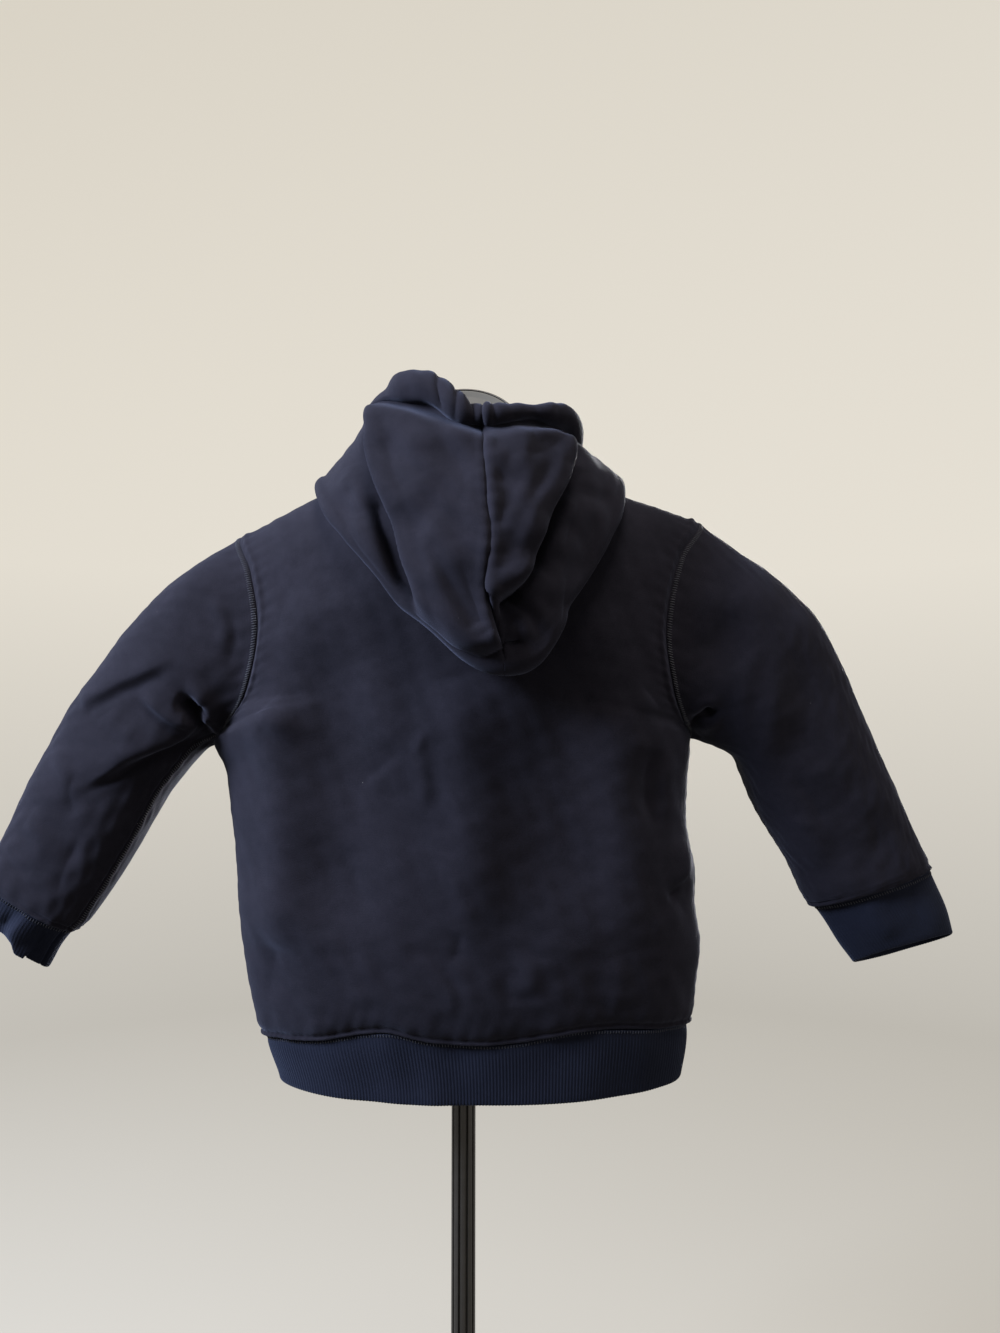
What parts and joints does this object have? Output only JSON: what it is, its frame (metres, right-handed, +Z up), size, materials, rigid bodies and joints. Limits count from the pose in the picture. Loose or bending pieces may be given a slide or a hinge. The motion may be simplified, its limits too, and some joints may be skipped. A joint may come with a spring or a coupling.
{
  "type": "zip-up hoodie on a limbless dress form",
  "caption": "Child's navy fleece zip-up hoodie with ribbed hem and cuffs and its hood hung down the back, on a limbless dress form with a sloping neck cap, a fluted pole and a round base.",
  "frame": {"origin": "middle of the stand base's underside, on the floor, on the axis of the pole", "axes": "+Z up along the pole; +X to the wearer's left; the front of the hoodie, with the zip, faces -Y and the hood hangs on the +Y side"},
  "size_m": [0.631, 0.28, 0.8824],
  "materials": {
    "fleece": "brushed-back cotton fleece, navy, matt",
    "rib": "one-by-one rib knit, navy, matt",
    "zip_tape": "woven tape with moulded teeth, navy",
    "zip_metal": "plain bright metal",
    "form_skin": "smooth pale grey, matt",
    "cap_plastic": "smooth grey, satin",
    "stand_metal": "dark charcoal, satin"
  },
  "bodies": {
    "hoodie_on_form": {"back_panel": "fleece", "front_left": "fleece", "front_right": "fleece", "sleeve_left": "fleece", "sleeve_right": "fleece", "hood_left": "fleece", "hood_right": "fleece", "hem_rib": "rib", "cuff_left": "rib", "cuff_right": "rib", "zip_left": "zip_tape", "zip_right": "zip_tape", "zip_slider": "zip_metal", "dress_form": "form_skin", "neck_cap": "cap_plastic", "neck_rim": "stand_metal", "stand_pole": "stand_metal", "stand_base": "stand_metal"},
    "pull": {"zip_pull": "zip_metal"}
  },
  "joints": [
    {"name": "pull_swing", "type": "hinge", "parent": "hoodie_on_form", "child": "pull", "pos_m": [0, -0.05801, 0.76654], "axis": [-1, 0, 0], "range_deg": [0, 140]}
  ]
}
